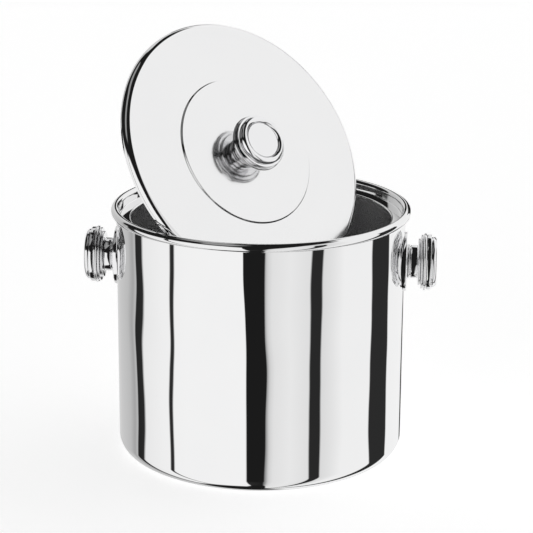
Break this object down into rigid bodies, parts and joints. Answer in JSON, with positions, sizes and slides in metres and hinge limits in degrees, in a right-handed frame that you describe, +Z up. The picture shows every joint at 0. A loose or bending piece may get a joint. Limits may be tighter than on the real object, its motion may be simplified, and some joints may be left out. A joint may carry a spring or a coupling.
{
  "type": "ice bucket",
  "caption": "Double-walled polished steel ice bucket with a turned knob on each side for carrying, and a loose flat lid with a turned knob that leans in the open mouth.",
  "frame": {"origin": "centre of the ring that the bucket stands on, on the surface that it stands on", "axes": "+Z up along the bucket's axis; the side knobs lie along X, with left_ at -X; -Y faces the viewer, and the lid leans with its knob towards +X and -Y"},
  "size_m": [0.2198, 0.1866, 0.2626],
  "materials": {
    "shell_steel": "mirror-polished stainless steel, crisp reflections, with faint polishing lines round the body",
    "liner_steel": "polished stainless steel, spun, slightly softer than the outside",
    "lid_steel": "polished stainless steel, spun, with slightly soft reflections",
    "pan_steel": "satin spun stainless steel",
    "knob_chrome": "bright chrome plate over turned zinc",
    "fastener_steel": "bright zinc-plated steel",
    "foam": "moulded bead foam, off-white, matt"
  },
  "bodies": {
    "bucket": {"outer_shell": "shell_steel", "inner_liner": "liner_steel", "insulation_sleeve": "foam", "insulation_disc": "foam", "left_knob_rosette": "knob_chrome", "left_knob_neck": "knob_chrome", "left_knob_head": "knob_chrome", "left_knob_face": "knob_chrome", "left_knob_stud": "fastener_steel", "left_knob_washer": "fastener_steel", "left_knob_nut": "fastener_steel", "right_knob_rosette": "knob_chrome", "right_knob_neck": "knob_chrome", "right_knob_head": "knob_chrome", "right_knob_face": "knob_chrome", "right_knob_stud": "fastener_steel", "right_knob_washer": "fastener_steel", "right_knob_nut": "fastener_steel"},
    "lid": {"lid_top": "lid_steel", "lid_pan": "pan_steel", "lid_insulation": "foam", "lid_knob_neck": "knob_chrome", "lid_knob_head": "knob_chrome", "lid_knob_face": "knob_chrome", "lid_knob_screw": "fastener_steel", "lid_knob_washer": "fastener_steel"}
  },
  "joints": [
    {"name": "lid_lift", "type": "slide", "parent": "bucket", "child": "lid", "axis": [0, 0, 1], "range_m": [0, 0.16]}
  ]
}
